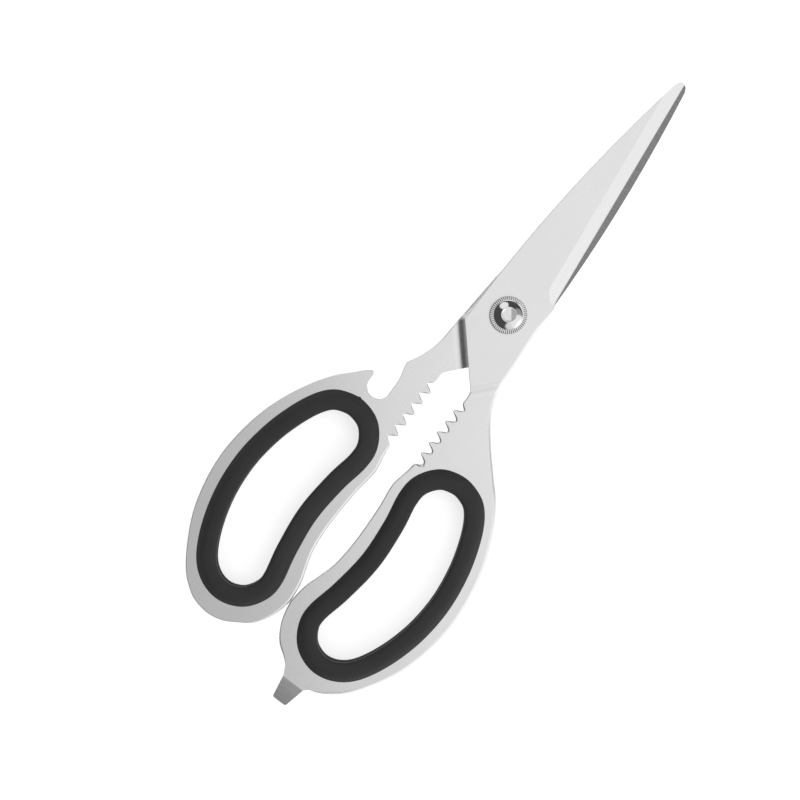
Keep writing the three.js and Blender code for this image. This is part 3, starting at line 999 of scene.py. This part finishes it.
def ranged(tree, source, low, high):
    # a 0 to 1 value spread over a new range
    node = addNode(tree, "ShaderNodeMapRange")
    node.inputs["From Min"].default_value = 0.3
    node.inputs["From Max"].default_value = 0.7
    node.inputs["To Min"].default_value = low
    node.inputs["To Max"].default_value = high
    tree.links.new(source, node.inputs["Value"])
    return node.outputs["Result"]


def mixedColour(tree, factor, dark, light):
    node = addNode(tree, "ShaderNodeMix", data_type="RGBA")
    colours = [s for s in node.inputs if s.type == "RGBA"]
    colours[0].default_value = (*dark, 1)
    colours[1].default_value = (*light, 1)
    tree.links.new(factor, node.inputs[0])
    return next(s for s in node.outputs if s.type == "RGBA")


def steelFinish(name, look):
    material, tree, shader = newFinish(name)
    links = tree.links
    lines = addNode(tree, "ShaderNodeGroup", node_tree=brushing)
    lines.inputs["Stretch"].default_value = look["stretch"]
    lines.inputs["Contrast"].default_value = look["contrast"]
    links.new(mixedColour(tree, ranged(tree, lines.outputs["Lines"], 0, 1), look["dark"], look["light"]),
              shader.inputs["Base Color"])
    rough = addNode(tree, "ShaderNodeMath", operation="ADD")
    links.new(ranged(tree, lines.outputs["Lines"], look["rough"], look["rough"] + look["roughSpread"]),
              rough.inputs[0])
    links.new(ranged(tree, lines.outputs["Cloud"], -0.02, 0.02), rough.inputs[1])
    links.new(rough.outputs["Value"], shader.inputs["Roughness"])
    bump = addNode(tree, "ShaderNodeBump")
    bump.inputs["Strength"].default_value = look["bump"]
    bump.inputs["Distance"].default_value = look["bumpDepth"]
    links.new(lines.outputs["Lines"], bump.inputs["Height"])
    links.new(bump.outputs["Normal"], shader.inputs["Normal"])
    shader.inputs["Metallic"].default_value = 1.0
    return material


def rubberFinish():
    look = {
        "dark": (0.0400, 0.0400, 0.0405),
        "light": (0.0490, 0.0490, 0.0495),
        "dust": (0.10, 0.10, 0.10),
        "rough": 0.62,
        "gloss": 0.30,
        "bump": 0.35,
        "bumpDepth": 0.02 * mm,
    }
    material, tree, shader = newFinish("moulded soft black")
    links = tree.links
    grain = addNode(tree, "ShaderNodeGroup", node_tree=mouldGrain)
    plain = mixedColour(tree, ranged(tree, grain.outputs["Cloud"], 0, 1), look["dark"], look["light"])
    dusty = addNode(tree, "ShaderNodeMix", data_type="RGBA")
    colours = [s for s in dusty.inputs if s.type == "RGBA"]
    links.new(grain.outputs["Specks"], dusty.inputs[0])
    links.new(plain, colours[0])
    colours[1].default_value = (*look["dust"], 1)
    links.new(next(s for s in dusty.outputs if s.type == "RGBA"), shader.inputs["Base Color"])
    links.new(ranged(tree, grain.outputs["Cloud"], look["rough"] - 0.04, look["rough"] + 0.05),
              shader.inputs["Roughness"])
    shader.inputs["Specular IOR Level"].default_value = look["gloss"]
    bump = addNode(tree, "ShaderNodeBump")
    bump.inputs["Strength"].default_value = look["bump"]
    bump.inputs["Distance"].default_value = look["bumpDepth"]
    links.new(grain.outputs["Height"], bump.inputs["Height"])
    links.new(bump.outputs["Normal"], shader.inputs["Normal"])
    return material


camera = {
    "height": 0.60,  # above the middle of the plates
    "frame": 0.2738,  # width seen there
    "x": -11.85 * mm,
    "y": -45.3 * mm,
    "roll": math.radians(37.26),
    "sensor": 36,
}


def setCamera():
    bpy.ops.object.select_all(action="DESELECT")
    bpy.ops.object.camera_add(location=(camera["x"], camera["y"], midPlane + camera["height"]),
                              rotation=(0, 0, camera["roll"]))
    body = bpy.context.object
    body.name = "copyStandCamera"
    body.data.sensor_width = camera["sensor"]
    body.data.lens = camera["sensor"] * camera["height"] / camera["frame"]
    body.data.clip_start = 0.01
    body.data.clip_end = 20
    bpy.context.scene.camera = body


floorLook = {
    "size": 12,
    "drop": 0.2 * mm,  # gap below the shears
    "glow": 0.67,
}


def setFloor():
    bpy.ops.object.select_all(action="DESELECT")
    bpy.ops.mesh.primitive_plane_add(size=floorLook["size"], location=(0, 0, -floorLook["drop"]))
    floor = bpy.context.object
    floor.name = "paleFloor"
    material, tree, shader = newFinish("pale floor")
    shader.inputs["Base Color"].default_value = (0.86, 0.86, 0.86, 1)
    shader.inputs["Roughness"].default_value = 0.9
    shader.inputs["Emission Color"].default_value = (1, 1, 1, 1)
    shader.inputs["Emission Strength"].default_value = floorLook["glow"]
    floor.data.materials.append(material)


right = Vector((math.cos(camera["roll"]), math.sin(camera["roll"]), 0))  # to the picture's right
up = Vector((-right.y, right.x, 0))  # to the picture's top


def skyward(turn, tilt):
    # a direction: turn from the picture's right towards its top, tilt down from overhead, in degrees
    turn, tilt = math.radians(turn), math.radians(tilt)
    level = right * math.cos(turn) + up * math.sin(turn)
    return level * math.sin(tilt) + Vector((0, 0, math.cos(tilt)))


# soft panels round a dark room: [turn, tilt, full within, gone beyond, brightness]
studio = {
    "dark": 0.075,
    "panels": [
        [0, 0, 30, 42, 0.50],
        [6, 56, 24, 32, 0.36],
        [-38, 66, 30, 44, 1.00],
        [-38, 92, 22, 32, 1.30],
        [112, 64, 18, 24, 1.00],
        [286, 66, 18, 34, 0.84],
    ],
}

softbox = {
    "height": 0.50,
    "reach": 0.21,  # to the picture's right of the camera
    "width": 0.50,
    "length": 0.70,
    "power": 0.495,
}


def setSoftbox():
    # one low softbox over the blades, so the bows fall off towards the left
    place = Vector((camera["x"], camera["y"], softbox["height"])) + right * softbox["reach"]
    bpy.ops.object.select_all(action="DESELECT")
    bpy.ops.object.light_add(type="AREA", location=place, rotation=(0, 0, camera["roll"]))
    lamp = bpy.context.object
    lamp.name = "softbox"
    lamp.visible_camera = False
    lamp.data.shape = "RECTANGLE"
    lamp.data.size = softbox["width"]
    lamp.data.size_y = softbox["length"]
    lamp.data.energy = softbox["power"]


def setRoom():
    # white to the camera; to everything else a dark room with soft panels
    world = bpy.data.worlds.new("studio")
    bpy.context.scene.world = world
    world.use_nodes = True
    tree = world.node_tree
    tree.nodes.clear()
    links = tree.links
    out = addNode(tree, "ShaderNodeOutputWorld")
    path = addNode(tree, "ShaderNodeLightPath")
    seen = addNode(tree, "ShaderNodeBackground", Color=(1, 1, 1, 1), Strength=1.0)
    lit = addNode(tree, "ShaderNodeBackground", Color=(1, 1, 1, 1))
    place = addNode(tree, "ShaderNodeTexCoord")
    brightest = None
    for turn, tilt, full, gone, bright in studio["panels"]:
        facing = addNode(tree, "ShaderNodeVectorMath", operation="DOT_PRODUCT")
        facing.inputs[1].default_value = skyward(turn, tilt)
        links.new(place.outputs["Generated"], facing.inputs[0])
        fade = addNode(tree, "ShaderNodeMapRange", interpolation_type="SMOOTHSTEP")
        fade.inputs["From Min"].default_value = math.cos(math.radians(gone))
        fade.inputs["From Max"].default_value = math.cos(math.radians(full))
        fade.inputs["To Min"].default_value = studio["dark"]
        fade.inputs["To Max"].default_value = bright
        links.new(facing.outputs["Value"], fade.inputs["Value"])
        if brightest is None:
            brightest = fade.outputs["Result"]
        else:
            more = addNode(tree, "ShaderNodeMath", operation="MAXIMUM")
            links.new(brightest, more.inputs[0])
            links.new(fade.outputs["Result"], more.inputs[1])
            brightest = more.outputs["Value"]
    links.new(brightest, lit.inputs["Strength"])
    mix = addNode(tree, "ShaderNodeMixShader")
    links.new(path.outputs["Is Camera Ray"], mix.inputs["Fac"])
    links.new(lit.outputs["Background"], mix.inputs[1])
    links.new(seen.outputs["Background"], mix.inputs[2])
    links.new(mix.outputs["Shader"], out.inputs["Surface"])


setCamera()
setFloor()
setSoftbox()
setRoom()
bpy.context.scene.view_settings.view_transform = "Standard"
print("camera, floor and light are set")

frontPlate = pressHalf("frontPlate", hooked=False)
print("front half pressed:", len(frontPlate.data.polygons), "faces")
rearPlate = pressHalf("rearPlate", hooked=True)
print("rear half pressed:", len(rearPlate.data.polygons), "faces")
frontRing = mouldRing("frontRing")
tidyMesh(frontRing, 40)
rearRing = mouldRing("rearRing")
leaveNub(rearRing)
turnOver(rearRing)
tidyMesh(rearRing, 40)
print("rings moulded:", len(frontRing.data.polygons), "faces each")
domedScrew = turnScrew()
serratedWasher = turnSerratedWasher()
dishedWasher = turnDishedWasher()
barrelNut = turnNut()
print("pivot pieces turned")

brushing = makeBrushing()
mouldGrain = makeMouldGrain()
satin = steelFinish("satin steel", {
    "stretch": (2600, 90, 900), "contrast": 0.7,
    "dark": (0.81, 0.81, 0.815), "light": (0.85, 0.85, 0.855),
    "rough": 0.27, "roughSpread": 0.03, "bump": 0.02, "bumpDepth": 0.01 * mm,
})
# painted shade: a darker copy of the steel, whose dark base colour stands in for the shade on the blade's
# mating face and in the washer's serration valleys
ground = steelFinish("ground steel", {
    "stretch": (110, 2400, 1200), "contrast": 1.4,
    "dark": (0.225, 0.225, 0.23), "light": (0.33, 0.33, 0.335),
    "rough": 0.36, "roughSpread": 0.10, "bump": 0.25, "bumpDepth": 0.02 * mm,
})
polished = steelFinish("polished steel", {
    "stretch": (300, 300, 300), "contrast": 0.6,
    "dark": (0.72, 0.72, 0.73), "light": (0.80, 0.80, 0.81),
    "rough": 0.07, "roughSpread": 0.04, "bump": 0.03, "bumpDepth": 0.01 * mm,
})
# painted shade: a darker copy of the steel, whose dark base colour stands in for the shade on the sloping
# faces of the screwdriver wedge
filedPaintedShade = steelFinish("filed steel", {
    "stretch": (110, 2400, 1200), "contrast": 1.2,
    "dark": (0.42, 0.42, 0.425), "light": (0.54, 0.54, 0.545),
    "rough": 0.36, "roughSpread": 0.08, "bump": 0.15, "bumpDepth": 0.01 * mm,
})
rubber = rubberFinish()


def paint(piece, *materials):
    piece.data.materials.clear()
    for material in materials:
        piece.data.materials.append(material)


def paintPlate(piece, innerUp):
    # ground finish with painted shade on the mating face of the blade, filed finish with painted shade on
    # the screwdriver wedge: both are darker copies of the steel
    paint(piece, satin, ground, filedPaintedShade)
    for face in piece.data.polygons:
        inner = face.normal.z * innerUp > 0.95 and face.center.y > matingStart
        wedge = face.center.y < driverEnd + driver["ground"]
        face.material_index = 1 if inner else 2 if wedge else 0


paintPlate(frontPlate, -1)
paintPlate(rearPlate, 1)
paint(frontRing, rubber)
paint(rearRing, rubber)
for piece in (domedScrew, dishedWasher, barrelNut):
    paint(piece, polished)
# painted shade: the faces in each serration's valley get the dark steel
paint(serratedWasher, polished, ground)
for face in serratedWasher.data.polygons:
    turn = math.atan2(face.center.y, face.center.x) / (2 * math.pi) * serration["count"]
    face.material_index = 1 if abs(turn - math.floor(turn) - 0.5) < serration["paintedShadeShare"] else 0
print("finishes given")

# what each piece rides on, the name of its finish slot, which nothing here uses, and the node that it
# stands for
for piece, body, finish, node in (
    (frontPlate, "front_half", "blade_steel", "front_blade"),
    (rearPlate, "rear_half", "blade_steel", "rear_blade"),
    (frontRing, "front_half", "soft_ring", "front_grip"),
    (rearRing, "rear_half", "soft_ring", "rear_grip"),
    (barrelNut, "rear_half", "polished_steel", "pivot_nut"),
    (dishedWasher, "rear_half", "polished_steel", "spring_washer"),
    (serratedWasher, "rear_half", "polished_steel", "knurled_washer"),
    (domedScrew, "rear_half", "polished_steel", "pivot_screw"),
):
    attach(piece, body)
    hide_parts(node)
print("pieces placed on their bodies")
